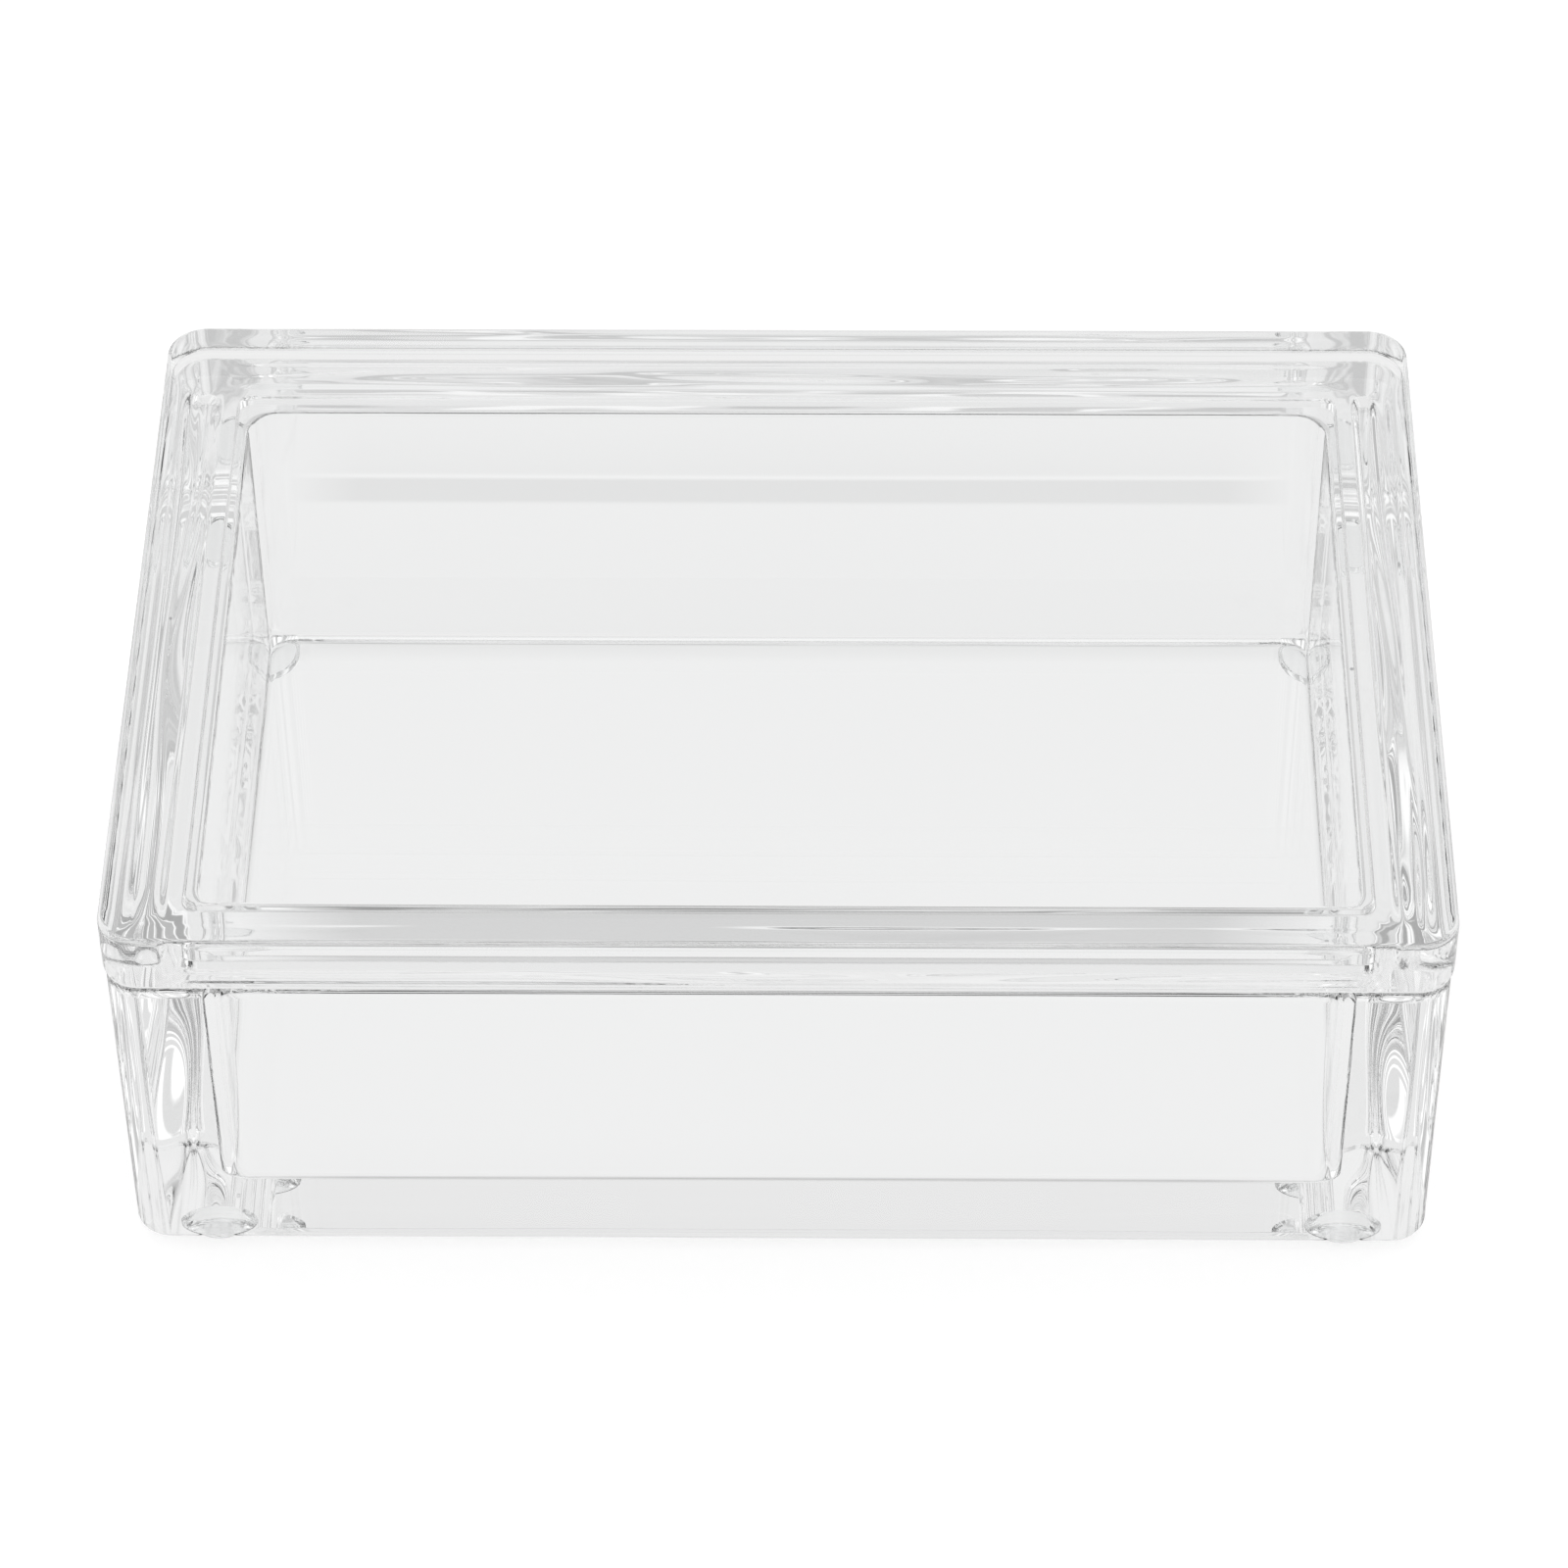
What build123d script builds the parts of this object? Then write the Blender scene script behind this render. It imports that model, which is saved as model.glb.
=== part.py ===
"""Clear acrylic storage box: a thick-walled box body, a lift-off lid and four clear bumper feet.

Frame: millimetres, X along the long side, Y towards the back, Z up.
The origin is the middle of the footprint, on the surface that the feet stand on.
The lid lies on the flat rim of the body by its own weight and lifts straight off.
"""
from build123d import *
import os

# Lid
lid_length = 108.0
lid_width = 73.3
lid_height = 5.7
lid_plate_thickness = 4.3
lid_rim_width = 6.3
lid_corner_radius = 3.2
lid_top_edge_radius = 0.5
lid_bottom_edge_radius = 0.5
pocket_corner_radius = 1.2
pocket_edge_radius = 0.3

# Box body
body_height = 30.85
wall_thickness = 7.0
floor_thickness = 3.2
wall_draft_angle = 0.25
cavity_corner_radius = 2.5
cavity_floor_radius = 0.6
rim_outer_radius = 1.1
rim_inner_radius = 0.4
base_edge_radius = 0.5

# Bumper feet
foot_diameter = 6.4
foot_height = 1.2
foot_edge_radius = 0.85
front_foot_inset_from_side = 6.9
front_foot_inset_from_front = 3.7
rear_foot_inset_from_side = 6.2
rear_foot_inset_from_back = 6.6

# How the pieces lie on each other
lid_overhang = 0.2
lid_seat_gap = 0.05

# Sizes that follow from the ones above
body_length = lid_length - 2 * lid_overhang
body_width = lid_width - 2 * lid_overhang
body_corner_radius = lid_corner_radius - lid_overhang
cavity_length = body_length - 2 * wall_thickness
cavity_width = body_width - 2 * wall_thickness
cavity_depth = body_height - floor_thickness
pocket_length = lid_length - 2 * lid_rim_width
pocket_width = lid_width - 2 * lid_rim_width
pocket_depth = lid_height - lid_plate_thickness
base_level = foot_height
rim_level = base_level + body_height
lid_level = rim_level + lid_seat_gap


def top_edges(solid):
    """Edges round the highest face of a solid."""
    return solid.faces().sort_by(Axis.Z)[-1].edges()


def bottom_edges(solid):
    """Edges round the lowest face of a solid."""
    return solid.faces().sort_by(Axis.Z)[0].edges()


def rounded_block(length, width, height, corner_radius, level):
    """Upright block with rounded corners that stands at a level."""
    outline = RectangleRounded(length, width, corner_radius)
    return extrude(Plane.XY.offset(level) * outline, height)


def make_box_body():
    """Outer block with a cavity that narrows a little towards its floor."""
    block = rounded_block(body_length, body_width, body_height, body_corner_radius, base_level)
    block = fillet(top_edges(block), rim_outer_radius)
    block = fillet(bottom_edges(block), base_edge_radius)

    mouth = RectangleRounded(cavity_length, cavity_width, cavity_corner_radius)
    mouth = Plane.XY.offset(rim_level) * mouth
    cavity = extrude(mouth, cavity_depth, dir=(0, 0, -1), taper=wall_draft_angle)
    cavity = fillet(bottom_edges(cavity), cavity_floor_radius)

    body = block - cavity
    rim = body.faces().filter_by(Axis.Z).sort_by(Axis.Z)[-1]
    return fillet(rim.inner_wires()[0].edges(), rim_inner_radius)


def make_lid():
    """Flat slab with a shallow pocket in its underside, inside a broad rim."""
    slab = rounded_block(lid_length, lid_width, lid_height, lid_corner_radius, lid_level)
    slab = fillet(top_edges(slab), lid_top_edge_radius)
    slab = fillet(bottom_edges(slab), lid_bottom_edge_radius)

    pocket = rounded_block(pocket_length, pocket_width, pocket_depth, pocket_corner_radius, lid_level)
    pocket = fillet(top_edges(pocket), pocket_edge_radius)
    return slab - pocket


def make_foot(side, end, inset_from_side, inset_from_end):
    """Stick-on bumper: a short round pad under the base, well rounded round its flat tread.

    side is -1 at the left and 1 at the right; end is -1 at the front and 1 at the back.
    """
    foot = extrude(Circle(foot_diameter / 2), foot_height)
    foot = fillet(bottom_edges(foot), foot_edge_radius)
    centre_x = side * (body_length / 2 - inset_from_side)
    centre_y = end * (body_width / 2 - inset_from_end)
    return Pos(centre_x, centre_y, 0) * foot


def write_step(name, solid):
    """Write one piece to its own file, under its own name."""
    solid.label = name
    export_step(solid, f"parts/{name}.step")


def main():
    os.makedirs("parts", exist_ok=True)
    write_step("box_body", make_box_body())
    write_step("lid", make_lid())
    front_row = ("front", -1, front_foot_inset_from_side, front_foot_inset_from_front)
    rear_row = ("rear", 1, rear_foot_inset_from_side, rear_foot_inset_from_back)
    for end_name, end, inset_from_side, inset_from_end in (front_row, rear_row):
        for side_name, side in (("left", -1), ("right", 1)):
            foot = make_foot(side, end, inset_from_side, inset_from_end)
            write_step(f"foot_{end_name}_{side_name}", foot)


main()
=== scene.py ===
"""Looks of the clear acrylic storage box: two clear mouldings, four clear bumpers and a plain studio.

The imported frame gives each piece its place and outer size. The mouldings are built here with the smooth
fillets and the shrink marks of thick acrylic, because those are what bend the light that passes through.
"""
import math

import bmesh
import bpy
from mathutils import Matrix, Vector, noise


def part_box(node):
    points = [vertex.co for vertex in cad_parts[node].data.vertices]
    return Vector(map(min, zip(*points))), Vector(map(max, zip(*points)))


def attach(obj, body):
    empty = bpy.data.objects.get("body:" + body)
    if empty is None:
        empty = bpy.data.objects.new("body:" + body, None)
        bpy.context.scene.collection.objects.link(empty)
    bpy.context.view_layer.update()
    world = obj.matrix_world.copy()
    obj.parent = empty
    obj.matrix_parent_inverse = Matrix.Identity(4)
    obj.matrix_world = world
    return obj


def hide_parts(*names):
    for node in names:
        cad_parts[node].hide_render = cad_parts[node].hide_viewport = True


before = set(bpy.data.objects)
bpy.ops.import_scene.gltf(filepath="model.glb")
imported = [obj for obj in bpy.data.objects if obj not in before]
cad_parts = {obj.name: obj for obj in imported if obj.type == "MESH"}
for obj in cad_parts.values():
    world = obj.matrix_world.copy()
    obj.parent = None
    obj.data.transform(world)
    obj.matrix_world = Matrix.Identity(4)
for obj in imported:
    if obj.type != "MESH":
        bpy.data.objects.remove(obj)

bl_info = {
    "name": "Clear Acrylic Storage Box",
    "version": (1, 0, 0),
    "blender": (4, 5, 0),
    "location": "3D View > Sidebar > Acrylic Box",
    "description": "Builds a thick-walled clear acrylic box with a lift-off lid, and its studio",
    "category": "Object",
}

MM = 0.001
PLACE_TOLERANCE = 0.02 * MM

# How finely the mouldings are cut
CORNER_STEPS = 12
SIDE_STEPS = (80, 55)
RIM_CUTS = 90
LID_TOP_CUTS = 11
LID_EDGE_CUTS = 9
WALL_CUTS = 24
BASE_CUTS = 40
RIM_OUTER_STEPS = 8
RIM_INNER_STEPS = 4
BASE_EDGE_STEPS = 5
CAVITY_FLOOR_STEPS = 5
LID_EDGE_STEPS = 6
POCKET_MOUTH_STEPS = 3
POCKET_EDGE_STEPS = 4
SHARP_ANGLE = math.radians(60)
FLAT_FACE_WEIGHT = 50

# Shrink marks: the left, right, front and rear sides' shares of the depth, and where the marks end
RIM_SHARE = (1.0, 1.0, 0.12, 0.5)
LINE_SHARE = (1.0, 1.0, 0.1, 0.3)
BASE_SHARE = (1.0, 1.0, 0.1, 0.1)
RIM_SINK_ENDS = (4 * MM, 9 * MM)
BASE_SINK_ENDS = (11 * MM, 36 * MM)
WALL_SINK_MARGIN = 3 * MM
LID_SINK_ENDS = (5 * MM, 8 * MM)
LID_SINK_OUTER_EDGE = (1.4 * MM, 2.2 * MM)
LID_SINK_INNER_EDGE = (4.3 * MM, 5.0 * MM)
OUTER_FACE_DEPTH = 0.1 * MM
LEVEL_NORMAL = 0.7
UPRIGHT_NORMAL = 0.3

# Flow lines under the lid's rim
LINE_SPACING = 1.5 * MM
LINE_DRIFT = 1.5 * MM
LINE_LENGTH = 34 * MM
SWAY_BREADTH = 4
FLANK_STEEPNESS = 5
SWAY_SEED = 11.0
LINE_SEED = 3.0
SEED_STEP = 7.0

# Bumper feet
FOOT_NODES = ("foot_front_left", "foot_front_right", "foot_rear_left", "foot_rear_right")
BUMPER_BOND = 0.03 * MM
BUMPER_EDGE_RADIUS = 0.85 * MM
BUMPER_SIDES = 64
BUMPER_EDGE_STEPS = 8

# Plastics
ACRYLIC_IOR = 1.49
ACRYLIC_SMEAR_SCALE = 60
ACRYLIC_ROUGHNESS = (0.0, 0.012)
ACRYLIC_WAVE_HEIGHT = 0.02 * MM
BUMPER_IOR = 1.46
BUMPER_SMEAR_SCALE = 500
BUMPER_ROUGHNESS = (0.02, 0.12)
BUMPER_WAVE_HEIGHT = 0.03 * MM
SMEAR_DETAIL = 3
SMEAR_SPAN = (0.5, 0.75)
SPECK_SCALE = 45
SPECK_RADIUS = 0.12 * MM

# The light tent: grey levels by how far a direction points aside, backwards and upwards.
# The upper share says how far up the lower side light gives way to the upper one.
UPPER_SIDE_LIGHT = (
    (0.0, 0.82), (0.135, 0.82), (0.14, 1.15), (0.155, 1.15), (0.16, 0.75), (0.19, 0.75),
    (0.195, 1.15), (0.21, 1.15), (0.215, 0.75), (0.255, 0.75), (0.26, 1.15), (0.28, 1.15),
    (0.285, 0.7), (0.315, 0.7), (0.32, 1.15), (0.335, 1.15), (0.345, 0.55), (0.42, 0.55),
    (0.5, 1.15), (0.58, 1.15), (0.61, 0.35), (0.7, 0.35), (0.73, 1.2), (1.0, 1.1))
LOWER_SIDE_LIGHT = (
    (0.0, 0.82), (0.3, 0.82), (0.42, 0.6), (0.55, 1.1), (0.63, 0.5), (0.7, 0.5), (0.8, 1.15), (1.0, 1.05))
UPPER_SHARE = ((0.0, 0.0), (0.5, 0.0), (0.58, 1.0), (1.0, 1.0))
DEPTH_LIGHT = ((0.0, 0.8), (0.35, 0.8), (0.5, 1.0), (1.0, 1.0))
HEIGHT_LIGHT = ((0.0, 1.0), (0.8, 1.0), (0.9, 1.2), (1.0, 1.2))

# The floor as it is seen through the box, a painted shadow with painted caustic light: grey levels by how
# far a place lies inside or outside the footprint, darker under the thick walls as a painted shadow, in a
# band across the front edge as a painted shadow and one across the rear edge as a painted shadow with
# painted caustic lines. The bands' spans run from those edges, and their fades inwards from the footprint's
# left and right ends.
FLOOR_LEVEL = -0.02 * MM
FLOOR_TONE_REACH = 20 * MM
PAINTED_FLOOR_SHADE_TONES = ((0.0, 0.89), (0.33, 0.89), (0.37, 0.83), (0.48, 0.83), (0.56, 0.86), (1.0, 0.88))
FRONT_BAND_SPAN = (20 * MM, -10 * MM)
FRONT_BAND_FADE = (-8 * MM, -18 * MM)
FRONT_PAINTED_SHADOW_TONES = ((0.0, 1.0), (0.33, 1.0), (0.36, 0.72), (0.7, 0.72), (0.85, 1.0), (1.0, 1.0))
REAR_BAND_SPAN = (-8 * MM, 32 * MM)
REAR_BAND_FADE = (-6 * MM, -13 * MM)
REAR_PAINTED_SHADOW_AND_CAUSTIC_TONES = (
    (0.0, 1.0), (0.07, 1.0), (0.1, 0.94), (0.2, 0.94), (0.23, 1.0), (0.67, 1.0),
    (0.685, 0.87), (0.755, 0.87), (0.765, 1.05), (0.78, 0.95), (0.86, 0.97), (1.0, 1.0))
# Painted caustic streaks, light and dark lines under the side walls. Towards the back they give way to a
# calm painted shade, which ends in a brighter painted strip.
STREAK_SPACING = 0.8 * MM
STREAK_LENGTH = 25 * MM
STREAK_PLACE = ((0.0, 0.0), (0.405, 0.0), (0.415, 1.0), (0.51, 1.0), (0.54, 0.0), (1.0, 0.0))
PAINTED_CAUSTIC_STREAK_TONES = (
    (0.0, 0.35), (0.42, 0.42), (0.46, 0.85), (0.5, 0.85),
    (0.53, 1.3), (0.57, 1.3), (0.6, 0.55), (1.0, 0.45))
CALM_SHARE = ((0.0, 0.0), (0.54, 0.0), (0.61, 0.75), (0.86, 0.75), (0.9, 0.4), (1.0, 0.4))
CALM_PAINTED_SHADE_TONES = ((0.0, 0.76), (0.86, 0.76), (0.9, 1.15), (1.0, 1.15))
WHITE = (1, 1, 1, 1)

# Camera and light paths
SENSOR_WIDTH = 36
CLIP_START = 10 * MM
LIGHT_BOUNCES = 40
REFLECTION_BOUNCES = 24

body_low, body_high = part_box("box_body")
lid_low, lid_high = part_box("lid")
foot_low, foot_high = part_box("foot_front_left")


class BoxSizes(bpy.types.PropertyGroup):
    """Sizes of the two mouldings that the frame's boxes don't give."""

    wall_thickness: bpy.props.FloatProperty(
        name="Wall Thickness", description="Thickness of the body's walls at the rim",
        default=7.0 * MM, unit="LENGTH")
    floor_thickness: bpy.props.FloatProperty(
        name="Floor Thickness", description="Thickness of the body's floor",
        default=3.2 * MM, unit="LENGTH")
    cavity_draft: bpy.props.FloatProperty(
        name="Cavity Draft", description="How far the cavity narrows on each side from its rim to its floor",
        default=0.03 * MM, unit="LENGTH")
    body_corner_radius: bpy.props.FloatProperty(
        name="Body Corner Radius", description="Outer radius of the body's upright corners",
        default=3.0 * MM, unit="LENGTH")
    cavity_corner_radius: bpy.props.FloatProperty(
        name="Cavity Corner Radius", description="Radius of the cavity's upright corners at the rim",
        default=2.5 * MM, unit="LENGTH")
    rim_outer_radius: bpy.props.FloatProperty(
        name="Rim Outer Radius", description="Rounding of the rim's outer edge",
        default=1.1 * MM, unit="LENGTH")
    rim_inner_radius: bpy.props.FloatProperty(
        name="Rim Inner Radius", description="Rounding of the rim's inner edge",
        default=0.4 * MM, unit="LENGTH")
    base_edge_radius: bpy.props.FloatProperty(
        name="Base Edge Radius", description="Rounding of the body's lowest edge",
        default=0.5 * MM, unit="LENGTH")
    cavity_floor_radius: bpy.props.FloatProperty(
        name="Cavity Floor Radius", description="Rounding where the cavity's walls meet its floor",
        default=0.6 * MM, unit="LENGTH")
    lid_corner_radius: bpy.props.FloatProperty(
        name="Lid Corner Radius", description="Outer radius of the lid's corners",
        default=3.2 * MM, unit="LENGTH")
    lid_edge_radius: bpy.props.FloatProperty(
        name="Lid Edge Radius", description="Rounding of the lid's upper and lower edges",
        default=0.5 * MM, unit="LENGTH")
    lid_rim_width: bpy.props.FloatProperty(
        name="Lid Rim Width", description="Width of the rim round the lid's pocket",
        default=6.3 * MM, unit="LENGTH")
    lid_plate_thickness: bpy.props.FloatProperty(
        name="Lid Plate Thickness", description="Thickness of the lid over its pocket",
        default=4.3 * MM, unit="LENGTH")
    pocket_corner_radius: bpy.props.FloatProperty(
        name="Pocket Corner Radius", description="Radius of the pocket's corners",
        default=1.2 * MM, unit="LENGTH")
    pocket_edge_radius: bpy.props.FloatProperty(
        name="Pocket Edge Radius", description="Rounding where the pocket's sides meet its ceiling",
        default=0.3 * MM, unit="LENGTH")
    pocket_mouth_radius: bpy.props.FloatProperty(
        name="Pocket Mouth Radius", description="Softening of the pocket's lower edge",
        default=0.12 * MM, unit="LENGTH")


class AcrylicFinish(bpy.types.PropertyGroup):
    """Colours of the plastics and the depth of their shrink marks."""

    tint: bpy.props.FloatVectorProperty(
        name="Acrylic Tint", description="What one surface of the acrylic lets through",
        subtype="COLOR", size=3, min=0, max=1, default=(0.99, 0.992, 0.992))
    speck_colour: bpy.props.FloatVectorProperty(
        name="Speck Colour", description="Colour of the dust specks on the acrylic",
        subtype="COLOR", size=3, min=0, max=1, default=(0.25, 0.25, 0.26))
    bumper_tint: bpy.props.FloatVectorProperty(
        name="Bumper Tint", description="What one surface of a bumper lets through",
        subtype="COLOR", size=3, min=0, max=1, default=(0.95, 0.955, 0.955))
    rim_sink: bpy.props.FloatProperty(
        name="Rim Sink", description="Depth of the shrink mark along the body's rim",
        default=0.25 * MM, unit="LENGTH")
    wall_sink: bpy.props.FloatProperty(
        name="Wall Sink", description="Depth of the shrink mark in the walls' outer faces",
        default=0.05 * MM, unit="LENGTH")
    base_sink: bpy.props.FloatProperty(
        name="Base Sink", description="Depth of the shrink mark under the side walls",
        default=0.12 * MM, unit="LENGTH")
    lid_sink: bpy.props.FloatProperty(
        name="Lid Sink", description="Depth of the shrink mark along the underside of the lid's rim",
        default=0.45 * MM, unit="LENGTH")
    ripple: bpy.props.FloatProperty(
        name="Ripple", description="Height of the flow lines under the lid's rim",
        default=0.28 * MM, unit="LENGTH")


class StudioSettings(bpy.types.PropertyGroup):
    """The floor and the camera."""

    floor_size: bpy.props.FloatProperty(
        name="Floor Size", description="Length and width of the floor",
        default=4.0, unit="LENGTH")
    floor_colour: bpy.props.FloatVectorProperty(
        name="Floor Colour", description="Colour of the pale floor",
        subtype="COLOR", size=3, min=0, max=1, default=(0.35, 0.35, 0.35))
    floor_lift: bpy.props.FloatProperty(
        name="Floor Lift", description="Light added to the floor where the camera sees it directly",
        default=0.8, min=0)
    camera_distance: bpy.props.FloatProperty(
        name="Camera Distance", description="From the camera to the middle of the footprint",
        default=514.7 * MM, unit="LENGTH")
    camera_yaw: bpy.props.FloatProperty(
        name="Camera Yaw", description="Turn of the view to the right",
        default=math.radians(-1.05), subtype="ANGLE")
    camera_pitch: bpy.props.FloatProperty(
        name="Camera Pitch", description="How far the camera looks down",
        default=math.radians(45.86), subtype="ANGLE")
    camera_roll: bpy.props.FloatProperty(
        name="Camera Roll", description="Tilt of the picture",
        default=math.radians(-0.56), subtype="ANGLE")
    camera_side: bpy.props.FloatProperty(
        name="Camera Side Step", description="Shift of the camera to its right",
        default=-0.09 * MM, unit="LENGTH")
    camera_rise: bpy.props.FloatProperty(
        name="Camera Rise", description="Shift of the camera upwards in its own frame",
        default=11.86 * MM, unit="LENGTH")
    camera_lens: bpy.props.FloatProperty(
        name="Camera Lens", description="Focal length in millimetres on a 36 mm sensor",
        default=134.84)


def deselect_all():
    """Leave nothing selected, so that the next operator acts on its own mesh alone."""
    bpy.ops.object.select_all(action="DESELECT")


def outline_distance(point, outline):
    """How far a point lies outside a rounded rectangle, seen from above."""
    length, width, radius = outline
    over_x = abs(point.x) - (length / 2 - radius)
    over_y = abs(point.y) - (width / 2 - radius)
    return math.hypot(max(over_x, 0), max(over_y, 0)) + min(max(over_x, over_y), 0) - radius


def pick_edges(test):
    """Select only the edges, of the mesh in edit mode, whose two end points pass a test."""
    mesh = bpy.context.edit_object.data
    grid = bmesh.from_edit_mesh(mesh)
    bpy.ops.mesh.select_mode(type="EDGE")
    bpy.ops.mesh.select_all(action="DESELECT")
    for edge in grid.edges:
        edge.select_set(test(edge.verts[0].co, edge.verts[1].co))
    bmesh.update_edit_mesh(mesh)


def on_loop(outline, level):
    """Test for an edge that lies on an outline at a level."""
    def test(start, end):
        return all(abs(point.z - level) < PLACE_TOLERANCE
                   and abs(outline_distance(point, outline)) < PLACE_TOLERANCE for point in (start, end))
    return test


def add_loop(outline, level, corner_steps, side_steps):
    """Add a closed loop of edges along a rounded rectangle to the mesh in edit mode."""
    length, width, radius = outline
    bpy.ops.mesh.select_all(action="DESELECT")
    bpy.ops.mesh.primitive_plane_add(size=1, location=(0, 0, level))
    bpy.ops.transform.resize(value=(length, width, 1))
    bpy.ops.mesh.bevel(offset=radius, segments=corner_steps, affect="VERTICES", clamp_overlap=False)
    bpy.ops.mesh.delete(type="ONLY_FACE")
    for along, steps in enumerate(side_steps):
        side_length = outline[along] - 2 * radius

        def spans_side(start, end):
            return (abs(abs(start[along] - end[along]) - side_length) < PLACE_TOLERANCE
                    and on_loop(outline, level)(start, end))
        pick_edges(spans_side)
        bpy.ops.mesh.subdivide(number_cuts=steps - 1)


def carried(point, outline, next_outline, next_level):
    """Where a point of a rounded rectangle belongs on another: at the same share of its side or corner."""
    straight = [outline[axis] / 2 - outline[2] for axis in (0, 1)]
    next_straight = [next_outline[axis] / 2 - next_outline[2] for axis in (0, 1)]
    over = [abs(point[axis]) - straight[axis] for axis in (0, 1)]
    if over[0] > 0 and over[1] > 0:
        turn = math.atan2(over[1], over[0])
        reach = next_outline[2] * math.cos(turn), next_outline[2] * math.sin(turn)
        place = [next_straight[axis] + reach[axis] for axis in (0, 1)]
    elif over[0] > over[1]:
        place = [next_outline[0] / 2, abs(point.y) / straight[1] * next_straight[1]]
    else:
        place = [abs(point.x) / straight[0] * next_straight[0], next_outline[1] / 2]
    return Vector((math.copysign(place[0], point.x), math.copysign(place[1], point.y), next_level))


def extend(first, second):
    """Extrude the loop at one outline and level, and lay its new points on another outline and level."""
    pick_edges(on_loop(*first))
    bpy.ops.mesh.extrude_region_move()
    mesh = bpy.context.edit_object.data
    grid = bmesh.from_edit_mesh(mesh)
    for point in grid.verts:
        if point.select:
            point.co = carried(point.co, first[0], *second)
    bmesh.update_edit_mesh(mesh)


def close_loop(outline, level):
    """Fill a loop with one flat face."""
    pick_edges(on_loop(outline, level))
    bpy.ops.mesh.edge_face_add()


def round_edge(outline, level, radius, steps):
    """Fillet the edge along a loop."""
    pick_edges(on_loop(outline, level))
    bpy.ops.mesh.bevel(offset=radius, segments=steps, affect="EDGES", clamp_overlap=False)


def split_band(outer_outline, level, least_span, cuts):
    """Cut a flat band at a level into narrower bands, side by side."""
    def crosses(start, end):
        span = abs(outline_distance(start, outer_outline) - outline_distance(end, outer_outline))
        return all(abs(point.z - level) < PLACE_TOLERANCE for point in (start, end)) and span > least_span
    pick_edges(crosses)
    bpy.ops.mesh.subdivide(number_cuts=cuts)


def split_wall(least_height, cuts):
    """Cut upright bands of faces into lower ones, one above the other."""
    pick_edges(lambda start, end: abs(start.z - end.z) > least_height)
    bpy.ops.mesh.subdivide(number_cuts=cuts)


def start_moulding(name):
    """Make an empty mesh object at the origin and enter edit mode on it."""
    deselect_all()
    bpy.ops.mesh.primitive_plane_add(size=1)
    piece = bpy.context.object
    piece.name = piece.data.name = name
    bpy.ops.object.mode_set(mode="EDIT")
    bpy.ops.mesh.delete(type="VERT")
    return piece


def end_moulding():
    """Close the mesh work on a piece."""
    bpy.ops.mesh.select_all(action="SELECT")
    bpy.ops.mesh.normals_make_consistent(inside=False)
    bpy.ops.mesh.select_all(action="DESELECT")
    bpy.ops.object.mode_set(mode="OBJECT")


def settle_normals(piece):
    """Shade a piece smooth, with its flat faces truly flat beside their fillets."""
    deselect_all()
    piece.select_set(True)
    bpy.context.view_layer.objects.active = piece
    bpy.ops.object.shade_smooth_by_angle(angle=SHARP_ANGLE)
    bpy.ops.object.modifier_add(type="WEIGHTED_NORMAL")
    weighting = piece.modifiers[-1]
    weighting.keep_sharp = True
    weighting.mode = "FACE_AREA"
    weighting.weight = FLAT_FACE_WEIGHT
    bpy.ops.object.modifier_apply(modifier=weighting.name)


def press_in(piece, depth_at):
    """Move each point of a piece inwards by the depth that depth_at gives for its place and normal."""
    points = piece.data.vertices
    moves = [vertex.normal * -depth_at(vertex.co, vertex.normal) for vertex in points]
    for vertex, move in zip(points, moves):
        vertex.co += move


def smooth_step(value, low, high):
    """0 below low, 1 above high and a smooth rise between."""
    share = min(max((value - low) / (high - low), 0), 1)
    return share * share * (3 - 2 * share)


def hollow(value, low, high):
    """0 outside a span and a rounded rise to 1 at its middle."""
    share = (value - low) / (high - low)
    return math.sin(math.pi * share) ** 2 if 0 < share < 1 else 0


def side_of(point, outline):
    """The side of an outline that a point is nearest: its place along it, its length and its number."""
    to_end = outline[0] / 2 - abs(point.x)
    to_flank = outline[1] / 2 - abs(point.y)
    if to_end < to_flank:
        return point.y, outline[1], 0 if point.x < 0 else 1
    return point.x, outline[0], 2 if point.y < 0 else 3


def flow_lines(inset, along, side):
    """Height, from -1 to 1, of lines that wander along a side where the plastic flowed and froze.

    The lines are flat ridges with steep flanks.
    """
    run = along / LINE_LENGTH
    sway = noise.noise(Vector((run, inset / (SWAY_BREADTH * LINE_SPACING), SWAY_SEED + side)))
    across = (inset + LINE_DRIFT * sway) / LINE_SPACING
    lines = noise.noise(Vector((across, run, LINE_SEED + SEED_STEP * side)))
    return math.tanh(FLANK_STEEPNESS * lines)


def add_node(tree, kind, inputs, **settings):
    """Add a node, and give each of its inputs a value or a link. Returns the node."""
    node = tree.nodes.new("ShaderNode" + kind)
    for name, setting in settings.items():
        setattr(node, name, setting)
    for name, source in inputs.items():
        if isinstance(source, bpy.types.NodeSocket):
            tree.links.new(source, node.inputs[name])
        else:
            node.inputs[name].default_value = source
    return node


def map_range(tree, value, low, high, bottom=0, top=1):
    """Carry a value from one span to another, held at the ends."""
    spans = {"Value": value, "From Min": low, "From Max": high, "To Min": bottom, "To Max": top}
    return add_node(tree, "MapRange", spans).outputs[0]


def mix_colours(tree, share, first, second):
    """Blend two colours."""
    blend = add_node(tree, "Mix", {"Factor": share, "A": first, "B": second}, data_type="RGBA")
    return blend.outputs["Result"]


def mix_shaders(tree, share, first, second):
    """Blend two shaders."""
    return add_node(tree, "MixShader", {0: share, 1: first, 2: second}).outputs[0]


def multiply(tree, first, second):
    """Multiply two colours or places, part by part."""
    return add_node(tree, "VectorMath", {0: first, 1: second}, operation="MULTIPLY").outputs[0]


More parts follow.
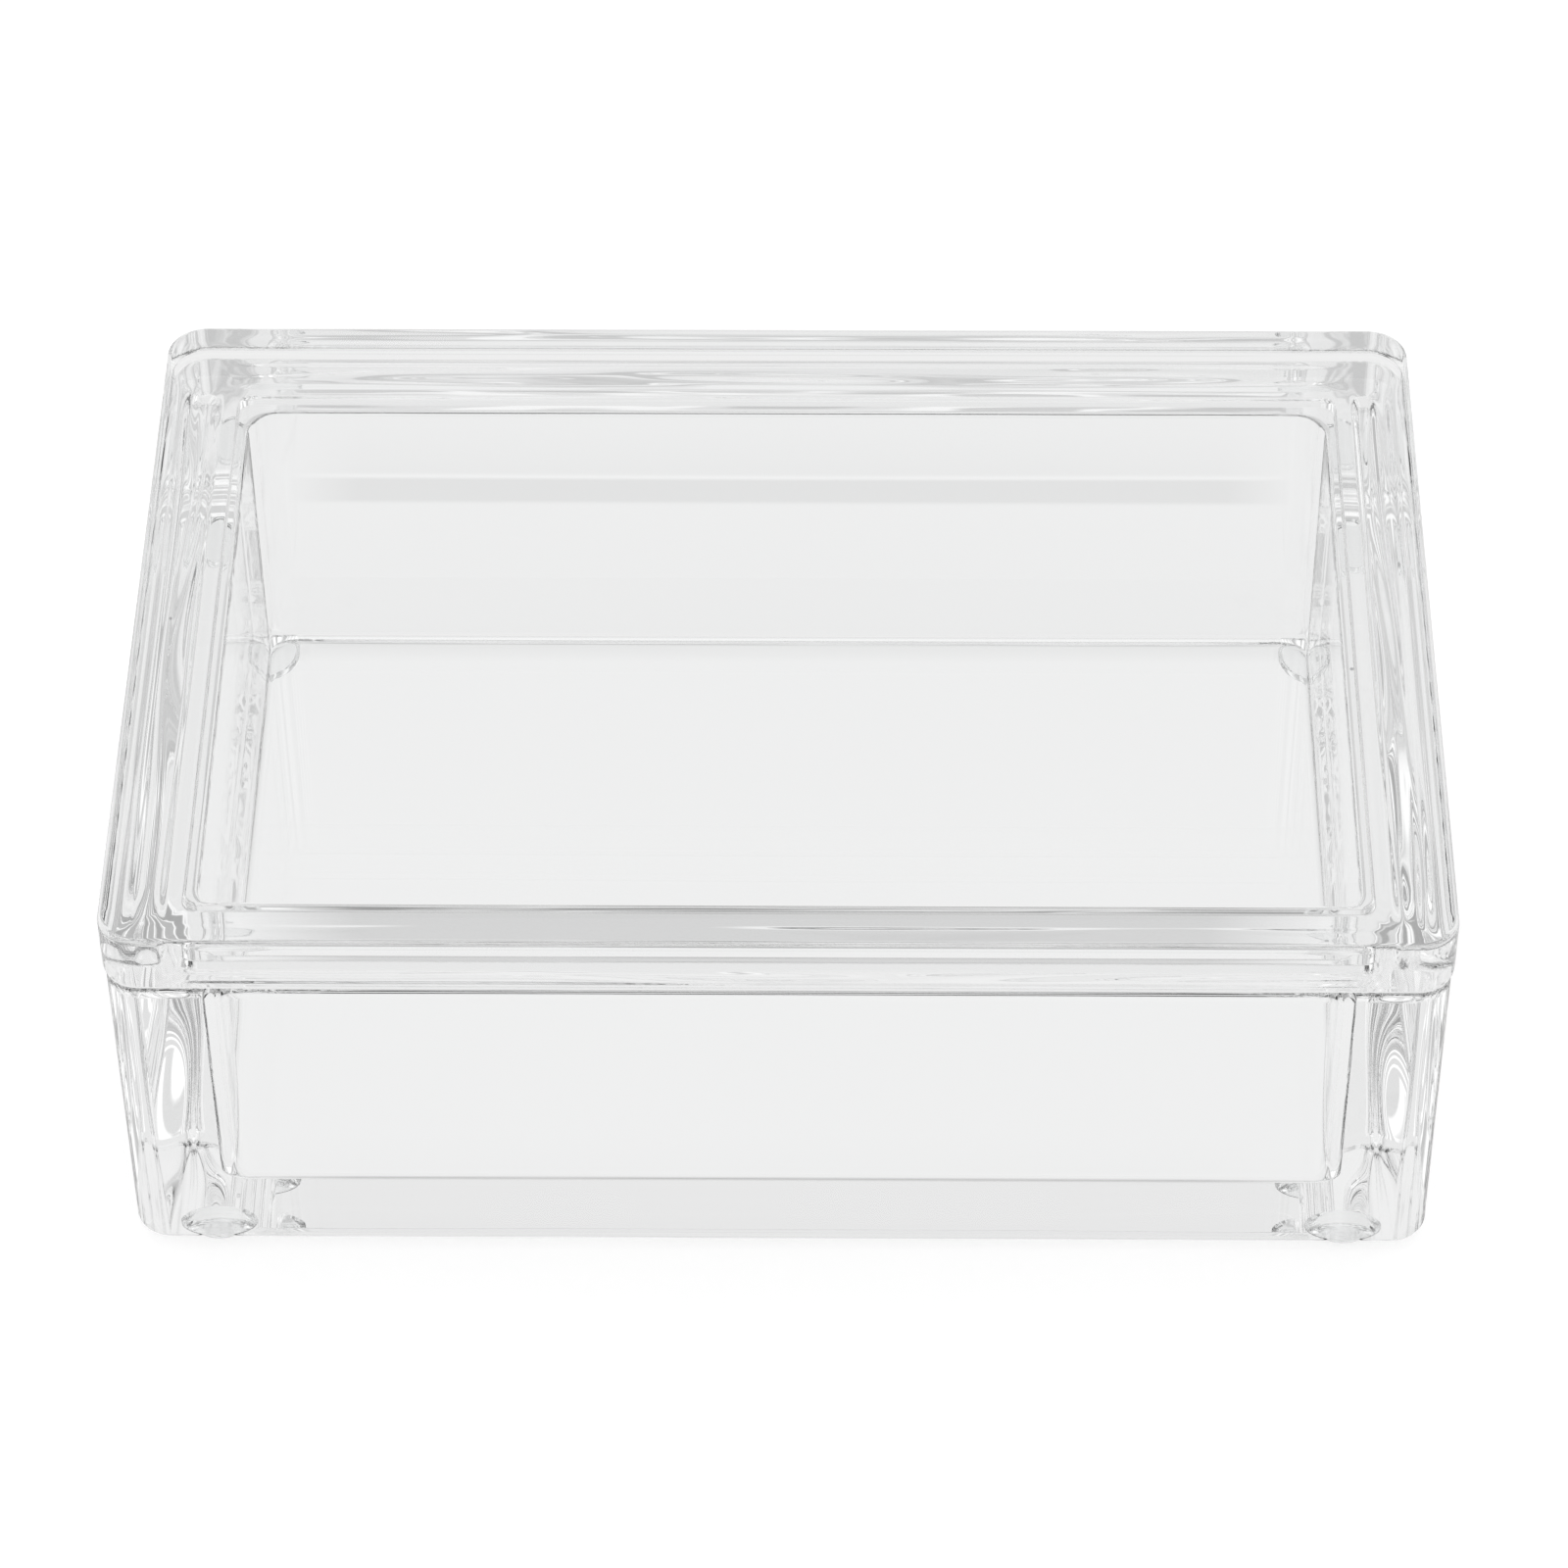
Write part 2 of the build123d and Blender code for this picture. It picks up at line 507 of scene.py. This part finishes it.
def make_ramp(tree, source, levels):
    """Colour ramp with grey levels at given places."""
    ramp = add_node(tree, "ValToRGB", {"Fac": source})
    stops = ramp.color_ramp.elements
    for stop, (place, level) in zip((stops[0], stops[1]), (levels[0], levels[-1])):
        stop.position = place
        stop.color = (level, level, level, 1)
    for place, level in levels[1:-1]:
        stops.new(place).color = (level, level, level, 1)
    return ramp.outputs["Color"]


def fade_in(tree, source, span, colour):
    """White where a value is at the start of a span, and a colour where it is at the end."""
    return mix_colours(tree, map_range(tree, source, *span), WHITE, colour)


def add_surface(material, scale, roughness_span, wave_height):
    """Give a plastic's shader a faintly uneven polish and a slight waviness. Returns object coordinates."""
    tree = material.node_tree
    shader = tree.nodes["Principled BSDF"]
    place = add_node(tree, "TexCoord", {}).outputs["Object"]
    smears = add_node(tree, "TexNoise", {"Vector": place, "Scale": scale, "Detail": SMEAR_DETAIL})
    polish = map_range(tree, smears.outputs["Fac"], *SMEAR_SPAN, *roughness_span)
    tree.links.new(polish, shader.inputs["Roughness"])
    waves = add_node(tree, "TexNoise", {"Vector": place, "Scale": scale / 2, "Detail": 0})
    bump = add_node(tree, "Bump", {"Height": waves.outputs["Fac"], "Distance": wave_height})
    tree.links.new(bump.outputs[0], shader.inputs["Normal"])
    return place


def make_acrylic():
    """Clear polished acrylic with the smallest tint, and a few specks of dust on it."""
    finish = bpy.context.scene.acrylic_finish
    material = bpy.data.materials.new("polished_acrylic")
    material.use_nodes = True
    tree = material.node_tree
    shader = tree.nodes["Principled BSDF"]
    shader.inputs["IOR"].default_value = ACRYLIC_IOR
    shader.inputs["Transmission Weight"].default_value = 1
    place = add_surface(material, ACRYLIC_SMEAR_SCALE, ACRYLIC_ROUGHNESS, ACRYLIC_WAVE_HEIGHT)
    specks = add_node(tree, "TexVoronoi", {"Vector": place, "Scale": SPECK_SCALE})
    speck_edge = SPECK_RADIUS * SPECK_SCALE
    clear = map_range(tree, specks.outputs["Distance"], speck_edge, 2 * speck_edge)
    colour = mix_colours(tree, clear, (*finish.speck_colour, 1), (*finish.tint, 1))
    tree.links.new(colour, shader.inputs["Base Color"])


def make_bumper_plastic():
    """Clear soft plastic, a little cloudier and less even than the acrylic."""
    finish = bpy.context.scene.acrylic_finish
    material = bpy.data.materials.new("soft_bumper_plastic")
    material.use_nodes = True
    shader = material.node_tree.nodes["Principled BSDF"]
    shader.inputs["Base Color"].default_value = (*finish.bumper_tint, 1)
    shader.inputs["IOR"].default_value = BUMPER_IOR
    shader.inputs["Transmission Weight"].default_value = 1
    add_surface(material, BUMPER_SMEAR_SCALE, BUMPER_ROUGHNESS, BUMPER_WAVE_HEIGHT)


def cover(piece, body, node, material):
    """Give a finished piece its material and its body, and hide the plain node that it stands for."""
    piece.data.materials.clear()
    piece.data.materials.append(bpy.data.materials[material])
    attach(piece, body)
    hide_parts(node)


class ACRYLICBOX_OT_make_plastics(bpy.types.Operator):
    """Make the two clear plastics"""

    bl_idname = "acrylicbox.make_plastics"
    bl_label = "Make Plastics"

    def execute(self, context):
        make_acrylic()
        make_bumper_plastic()
        return {"FINISHED"}


class ACRYLICBOX_OT_make_body(bpy.types.Operator):
    """Model the box body and lay the shrink marks of a thick moulding into it"""

    bl_idname = "acrylicbox.make_body"
    bl_label = "Make Box Body"

    def execute(self, context):
        sizes = context.scene.acrylic_sizes
        finish = context.scene.acrylic_finish
        length, width = body_high.x - body_low.x, body_high.y - body_low.y
        base, rim = body_low.z, body_high.z
        floor = base + sizes.floor_thickness
        wall = sizes.wall_thickness
        draft = sizes.cavity_draft
        outer = (length, width, sizes.body_corner_radius)
        mouth = (length - 2 * wall, width - 2 * wall, sizes.cavity_corner_radius)
        well = (mouth[0] - 2 * draft, mouth[1] - 2 * draft, mouth[2] - draft)
        border = wall + sizes.floor_thickness / 2
        plate = (length - 2 * border, width - 2 * border, sizes.cavity_corner_radius)

        piece = start_moulding("acrylic_body")
        add_loop(plate, base, CORNER_STEPS, SIDE_STEPS)
        extend((plate, base), (outer, base))
        extend((outer, base), (outer, rim))
        extend((outer, rim), (mouth, rim))
        extend((mouth, rim), (well, floor))
        close_loop(plate, base)
        close_loop(well, floor)
        round_edge(outer, rim, sizes.rim_outer_radius, RIM_OUTER_STEPS)
        round_edge(outer, base, sizes.base_edge_radius, BASE_EDGE_STEPS)
        round_edge(mouth, rim, sizes.rim_inner_radius, RIM_INNER_STEPS)
        round_edge(well, floor, sizes.cavity_floor_radius, CAVITY_FLOOR_STEPS)
        split_band(outer, rim, wall / 2, RIM_CUTS)
        split_band(outer, base, wall / 2, BASE_CUTS)
        split_wall((rim - floor) / 2, WALL_CUTS)
        end_moulding()

        def depth_at(point, normal):
            """Depth of the marks on the rim, under the walls and in their outer faces."""
            inset = -outline_distance(point, outer)
            along, side_length, side = side_of(point, outer)
            to_corner = side_length / 2 - abs(along)
            if normal.z > LEVEL_NORMAL and point.z > rim - sizes.rim_outer_radius:
                ends = smooth_step(to_corner, *RIM_SINK_ENDS)
                across = hollow(inset, sizes.rim_outer_radius, wall - sizes.rim_inner_radius)
                return ends * across * RIM_SHARE[side] * finish.rim_sink
            if normal.z < -LEVEL_NORMAL and point.z < base + sizes.base_edge_radius:
                ends = smooth_step(to_corner, *BASE_SINK_ENDS)
                across = hollow(inset, sizes.base_edge_radius, wall)
                return ends * across * BASE_SHARE[side] * finish.base_sink
            if abs(normal.z) < UPRIGHT_NORMAL and inset < OUTER_FACE_DEPTH:
                ends = hollow(to_corner, WALL_SINK_MARGIN, side_length - WALL_SINK_MARGIN)
                return finish.wall_sink * ends * hollow(point.z, base, rim)
            return 0
        press_in(piece, depth_at)
        settle_normals(piece)
        cover(piece, "box", "box_body", "polished_acrylic")
        return {"FINISHED"}


class ACRYLICBOX_OT_make_lid(bpy.types.Operator):
    """Model the lid as a slab with a shallow pocket, and lay its shrink marks into it"""

    bl_idname = "acrylicbox.make_lid"
    bl_label = "Make Lid"

    def execute(self, context):
        sizes = context.scene.acrylic_sizes
        finish = context.scene.acrylic_finish
        length, width = lid_high.x - lid_low.x, lid_high.y - lid_low.y
        bottom, top = lid_low.z, lid_high.z
        ceiling = top - sizes.lid_plate_thickness
        rim_width = sizes.lid_rim_width
        outer = (length, width, sizes.lid_corner_radius)
        pocket = (length - 2 * rim_width, width - 2 * rim_width, sizes.pocket_corner_radius)
        border = rim_width + sizes.lid_plate_thickness / 2
        plate = (length - 2 * border, width - 2 * border, sizes.pocket_corner_radius)

        piece = start_moulding("acrylic_lid")
        add_loop(plate, top, CORNER_STEPS, SIDE_STEPS)
        extend((plate, top), (outer, top))
        extend((outer, top), (outer, bottom))
        extend((outer, bottom), (pocket, bottom))
        extend((pocket, bottom), (pocket, ceiling))
        close_loop(plate, top)
        close_loop(pocket, ceiling)
        round_edge(outer, top, sizes.lid_edge_radius, LID_EDGE_STEPS)
        round_edge(outer, bottom, sizes.lid_edge_radius, LID_EDGE_STEPS)
        round_edge(pocket, bottom, sizes.pocket_mouth_radius, POCKET_MOUTH_STEPS)
        round_edge(pocket, ceiling, sizes.pocket_edge_radius, POCKET_EDGE_STEPS)
        split_band(outer, top, rim_width / 2, LID_TOP_CUTS)
        split_band(outer, bottom, rim_width / 2, RIM_CUTS)
        split_wall((top - bottom) / 2, LID_EDGE_CUTS)
        end_moulding()

        def depth_at(point, normal):
            """Depth of the hollow and the flow lines under the rim."""
            inset = -outline_distance(point, outer)
            along, side_length, side = side_of(point, outer)
            if normal.z < -LEVEL_NORMAL and point.z < bottom + sizes.lid_edge_radius:
                ends = smooth_step(side_length / 2 - abs(along), *LID_SINK_ENDS)
                falling = 1 - smooth_step(inset, *LID_SINK_INNER_EDGE)
                across = smooth_step(inset, *LID_SINK_OUTER_EDGE) * falling
                lines = LINE_SHARE[side] * finish.ripple * flow_lines(inset, along, side)
                return ends * across * (RIM_SHARE[side] * finish.lid_sink + lines)
            return 0
        press_in(piece, depth_at)
        settle_normals(piece)
        cover(piece, "lid", "lid", "polished_acrylic")
        return {"FINISHED"}


class ACRYLICBOX_OT_make_feet(bpy.types.Operator):
    """Model one clear bumper and copy it under each corner"""

    bl_idname = "acrylicbox.make_feet"
    bl_label = "Make Bumper Feet"

    def execute(self, context):
        radius = (foot_high.x - foot_low.x) / 2
        height = foot_high.z - foot_low.z + BUMPER_BOND
        middle = (foot_low + foot_high) / 2 + Vector((0, 0, BUMPER_BOND / 2))
        deselect_all()
        bpy.ops.mesh.primitive_cylinder_add(
            vertices=BUMPER_SIDES, radius=radius, depth=height, location=middle)
        first = context.object
        bpy.ops.object.transform_apply(location=True, rotation=True, scale=True)
        bpy.ops.object.mode_set(mode="EDIT")
        pick_edges(lambda start, end: max(start.z, end.z) < foot_low.z + PLACE_TOLERANCE)
        bpy.ops.mesh.bevel(offset=BUMPER_EDGE_RADIUS, segments=BUMPER_EDGE_STEPS, affect="EDGES",
                           clamp_overlap=False)
        end_moulding()
        settle_normals(first)
        feet = {FOOT_NODES[0]: first}
        for node in FOOT_NODES[1:]:
            deselect_all()
            first.select_set(True)
            context.view_layer.objects.active = first
            bpy.ops.object.duplicate()
            bpy.ops.transform.translate(value=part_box(node)[0] - foot_low)
            bpy.ops.object.transform_apply(location=True, rotation=True, scale=True)
            feet[node] = context.object
        for node, foot in feet.items():
            foot.name = foot.data.name = node.replace("foot", "bumper")
            cover(foot, "box", node, "soft_bumper_plastic")
        return {"FINISHED"}


def painted_streaks_and_shade(tree, x, y, outside):
    """Painted caustic streaks, light and dark, and painted shade for the floor under the side walls, which
    grow calm towards the back.
    """
    across = add_node(tree, "CombineXYZ", {"X": outside, "Y": x, "Z": y}).outputs[0]
    stretched = multiply(tree, across, (1 / STREAK_SPACING, 1 / STREAK_LENGTH, 1 / STREAK_LENGTH))
    painted_streaks = add_node(tree, "TexNoise", {"Vector": stretched, "Scale": 1, "Detail": 1}).outputs["Fac"]
    lengthwise = map_range(tree, y, body_low.y, body_high.y)
    lively = make_ramp(tree, painted_streaks, PAINTED_CAUSTIC_STREAK_TONES)
    calm = make_ramp(tree, lengthwise, CALM_PAINTED_SHADE_TONES)
    return mix_colours(tree, make_ramp(tree, lengthwise, CALM_SHARE), lively, calm)


def painted_floor_shade_and_light(tree):
    """Grey of the floor as it is seen through the box.

    It is painted shade and light: a painted shadow under the thick walls, painted caustic streaks under the
    side walls, a painted shadow in a band at the front, and a painted shadow with painted caustic lines in
    one behind the box.
    """
    place = add_node(tree, "TexCoord", {}).outputs["Object"]
    spot = add_node(tree, "SeparateXYZ", {0: place}).outputs
    from_middle = add_node(tree, "VectorMath", {0: place}, operation="ABSOLUTE").outputs[0]
    half_footprint = (body_high.x, body_high.y, 0)
    beyond = add_node(tree, "VectorMath", {0: from_middle, 1: half_footprint}, operation="SUBTRACT")
    over = add_node(tree, "SeparateXYZ", {0: beyond.outputs[0]}).outputs
    outside = add_node(tree, "Math", {0: over["X"], 1: over["Y"]}, operation="MAXIMUM").outputs[0]

    # Painted shadow: the floor is a little darker under the thick walls.
    share = map_range(tree, outside, -FLOOR_TONE_REACH, FLOOR_TONE_REACH)
    tone = make_ramp(tree, share, PAINTED_FLOOR_SHADE_TONES)
    # Painted shadow in a band under the front wall.
    ahead = map_range(tree, spot["Y"], *(body_low.y + reach for reach in FRONT_BAND_SPAN))
    front = fade_in(tree, over["X"], FRONT_BAND_FADE, make_ramp(tree, ahead, FRONT_PAINTED_SHADOW_TONES))
    # Painted shadow with painted caustic lines in a band on the floor behind the box.
    behind = map_range(tree, spot["Y"], *(body_high.y + reach for reach in REAR_BAND_SPAN))
    rear = fade_in(tree, over["X"], REAR_BAND_FADE, make_ramp(tree, behind, REAR_PAINTED_SHADOW_AND_CAUSTIC_TONES))
    # Painted caustic streaks and painted shade under the side walls.
    painted_streaks = painted_streaks_and_shade(tree, spot["X"], spot["Y"], outside)
    streaked = mix_colours(tree, make_ramp(tree, share, STREAK_PLACE), WHITE, painted_streaks)
    return multiply(tree, multiply(tree, tone, multiply(tree, front, rear)), streaked)


def make_floor_finish(studio):
    """Pale matt floor that keeps the shadow, lifted to white where the camera sees it directly."""
    material = bpy.data.materials.new("studio_floor")
    material.use_nodes = True
    tree = material.node_tree
    tree.nodes.clear()
    path = add_node(tree, "LightPath", {}).outputs
    matt = add_node(tree, "BsdfDiffuse", {"Color": (*studio.floor_colour, 1)}).outputs[0]
    lift = add_node(tree, "Emission", {"Strength": studio.floor_lift}).outputs[0]
    lifted = add_node(tree, "AddShader", {0: matt, 1: lift}).outputs[0]
    open_floor = mix_shaders(tree, path["Is Camera Ray"], matt, lifted)
    # Rays through the plastic see a glow of painted shadow and painted caustic light in place of the lit
    # floor.
    in_plastic = {0: path["Is Transmission Ray"], 1: path["Is Glossy Ray"]}
    through = add_node(tree, "Math", in_plastic, operation="MAXIMUM").outputs[0]
    painted_shade_glow = add_node(tree, "Emission", {"Color": painted_floor_shade_and_light(tree)}).outputs[0]
    add_node(tree, "OutputMaterial", {"Surface": mix_shaders(tree, through, open_floor, painted_shade_glow)})
    return material


def make_world():
    """Light tent: broad soft lights at both sides and above, a dim front and a white backdrop.

    High up, the side lights are parted into narrow strips, which the thick walls show as streaks.
    """
    world = bpy.data.worlds.new("light_tent")
    bpy.context.scene.world = world
    world.use_nodes = True
    tree = world.node_tree
    tree.nodes.clear()
    direction = add_node(tree, "TexCoord", {}).outputs["Generated"]
    parts = add_node(tree, "SeparateXYZ", {0: direction}).outputs
    aside = add_node(tree, "Math", {0: parts["X"]}, operation="ABSOLUTE").outputs[0]
    upper = make_ramp(tree, aside, UPPER_SIDE_LIGHT)
    lower = make_ramp(tree, aside, LOWER_SIDE_LIGHT)
    sides = mix_colours(tree, make_ramp(tree, parts["Z"], UPPER_SHARE), lower, upper)
    depth = make_ramp(tree, map_range(tree, parts["Y"], -1, 1), DEPTH_LIGHT)
    height = make_ramp(tree, parts["Z"], HEIGHT_LIGHT)
    level = multiply(tree, multiply(tree, sides, depth), height)
    light = add_node(tree, "Background", {"Color": level}).outputs[0]
    backdrop = add_node(tree, "Background", {"Color": WHITE}).outputs[0]
    seen = add_node(tree, "LightPath", {}).outputs["Is Camera Ray"]
    add_node(tree, "OutputWorld", {"Surface": mix_shaders(tree, seen, light, backdrop)})


def aim_camera(studio):
    """Put the camera where the photograph was taken from."""
    yaw, pitch, roll = studio.camera_yaw, studio.camera_pitch, studio.camera_roll
    forward = Vector((math.sin(yaw) * math.cos(pitch), math.cos(yaw) * math.cos(pitch), -math.sin(pitch)))
    right = Vector((math.cos(yaw), -math.sin(yaw), 0))
    up = right.cross(forward)
    tilted_right = right * math.cos(roll) + up * math.sin(roll)
    tilted_up = up * math.cos(roll) - right * math.sin(roll)
    place = (Vector((0, 0, body_low.z)) - forward * studio.camera_distance
             + tilted_right * studio.camera_side + tilted_up * studio.camera_rise)
    turn = Matrix((tilted_right, tilted_up, -forward)).transposed().to_4x4()
    deselect_all()
    bpy.ops.object.camera_add()
    camera = bpy.context.object
    camera.name = "studio_camera"
    camera.matrix_world = Matrix.Translation(place) @ turn
    camera.data.sensor_width = SENSOR_WIDTH
    camera.data.lens = studio.camera_lens
    camera.data.clip_start = CLIP_START
    bpy.context.scene.camera = camera


class ACRYLICBOX_OT_make_stage(bpy.types.Operator):
    """Lay the pale floor, light it softly and aim the camera"""

    bl_idname = "acrylicbox.make_stage"
    bl_label = "Make Stage"

    def execute(self, context):
        studio = context.scene.acrylic_studio
        deselect_all()
        bpy.ops.mesh.primitive_plane_add(size=studio.floor_size, location=(0, 0, FLOOR_LEVEL))
        floor = context.object
        floor.name = floor.data.name = "studio_floor"
        floor.data.materials.append(make_floor_finish(studio))
        make_world()
        aim_camera(studio)
        context.scene.view_settings.view_transform = "Standard"
        context.scene.cycles.max_bounces = LIGHT_BOUNCES
        context.scene.cycles.transmission_bounces = LIGHT_BOUNCES
        context.scene.cycles.glossy_bounces = REFLECTION_BOUNCES
        return {"FINISHED"}


class VIEW3D_PT_acrylic_box(bpy.types.Panel):
    """Settings of the acrylic box, and its steps in order"""

    bl_label = "Acrylic Box"
    bl_space_type = "VIEW_3D"
    bl_region_type = "UI"
    bl_category = "Acrylic Box"

    def draw(self, context):
        for holder, group in GROUPS.items():
            for name in group.__annotations__:
                self.layout.prop(getattr(context.scene, holder), name)
        for step in STEPS:
            self.layout.operator(step.bl_idname)


STEPS = (
    ACRYLICBOX_OT_make_plastics,
    ACRYLICBOX_OT_make_body,
    ACRYLICBOX_OT_make_lid,
    ACRYLICBOX_OT_make_feet,
    ACRYLICBOX_OT_make_stage,
)
GROUPS = {"acrylic_sizes": BoxSizes, "acrylic_finish": AcrylicFinish, "acrylic_studio": StudioSettings}


def register():
    for name, group in GROUPS.items():
        bpy.utils.register_class(group)
        setattr(bpy.types.Scene, name, bpy.props.PointerProperty(type=group))
    for step in STEPS:
        bpy.utils.register_class(step)
    bpy.utils.register_class(VIEW3D_PT_acrylic_box)


def unregister():
    bpy.utils.unregister_class(VIEW3D_PT_acrylic_box)
    for step in reversed(STEPS):
        bpy.utils.unregister_class(step)
    for name, group in GROUPS.items():
        delattr(bpy.types.Scene, name)
        bpy.utils.unregister_class(group)


def main():
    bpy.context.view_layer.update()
    register()
    bpy.ops.acrylicbox.make_plastics()
    bpy.ops.acrylicbox.make_body()
    bpy.ops.acrylicbox.make_lid()
    bpy.ops.acrylicbox.make_feet()
    bpy.ops.acrylicbox.make_stage()


if __name__ == "__main__":
    main()
